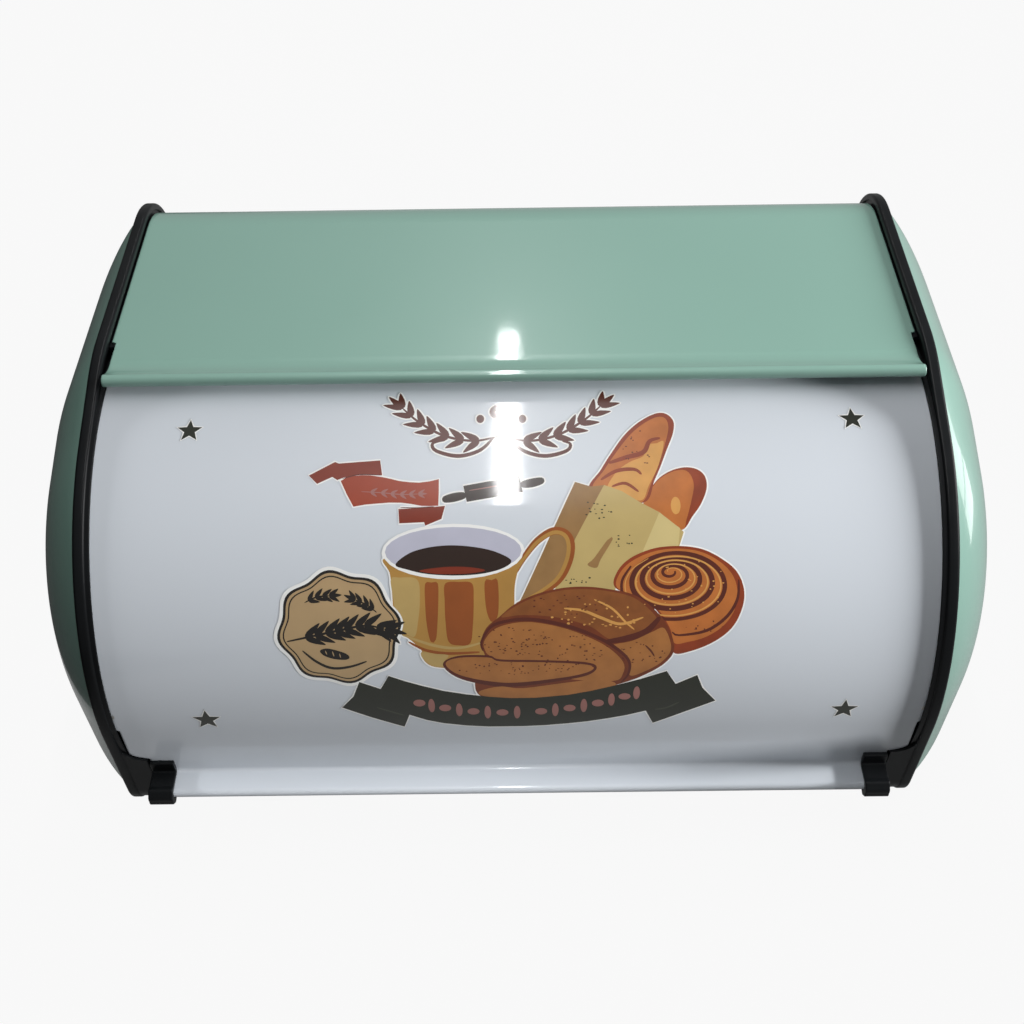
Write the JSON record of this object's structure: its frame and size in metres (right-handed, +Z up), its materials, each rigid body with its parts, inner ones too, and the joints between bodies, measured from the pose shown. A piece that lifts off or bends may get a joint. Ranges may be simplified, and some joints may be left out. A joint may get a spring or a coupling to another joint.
{
  "type": "bread box with roll top",
  "caption": "Countertop bread box: bent sheet body with domed ends between moulded side frames, and a curved lid that rolls up into the body along an arc track.",
  "frame": {"origin": "centre of the footprint, on the surface that the feet stand on", "axes": "+X to the right across the box (its longest side), -Y to the front where the lid opens, +Z up (its shortest side)"},
  "size_m": [0.365, 0.2294, 0.1643],
  "materials": {
    "mint_enamel": "glossy mint-green powder coat",
    "white_enamel": "glossy white enamel with a printed picture",
    "black_plastic": "satin black moulded plastic",
    "glide_plastic": "natural white nylon",
    "foot_rubber": "black soft rubber",
    "zinc_steel": "zinc-plated steel"
  },
  "bodies": {
    "body": {"back_sheet": "mint_enamel", "base_pan": "mint_enamel", "end_panel_left": "mint_enamel", "end_panel_right": "mint_enamel", "side_frame_left": "black_plastic", "side_frame_right": "black_plastic", "foot_front_left": "foot_rubber", "foot_front_right": "foot_rubber", "foot_rear_left": "foot_rubber", "foot_rear_right": "foot_rubber", "back_screws": "zinc_steel", "base_screws": "zinc_steel", "seam_rivets": "zinc_steel"},
    "roll_lid": {"lid": "white_enamel", "lid_clip_left": "black_plastic", "lid_clip_right": "black_plastic", "glide_front_left": "glide_plastic", "glide_front_right": "glide_plastic", "glide_rear_left": "glide_plastic", "glide_rear_right": "glide_plastic"}
  },
  "joints": [
    {"name": "lid_roll", "type": "hinge", "parent": "body", "child": "roll_lid", "pos_m": [0, -0.01194, 0.065], "axis": [-1, 0, 0], "range_deg": [0, 95]}
  ]
}
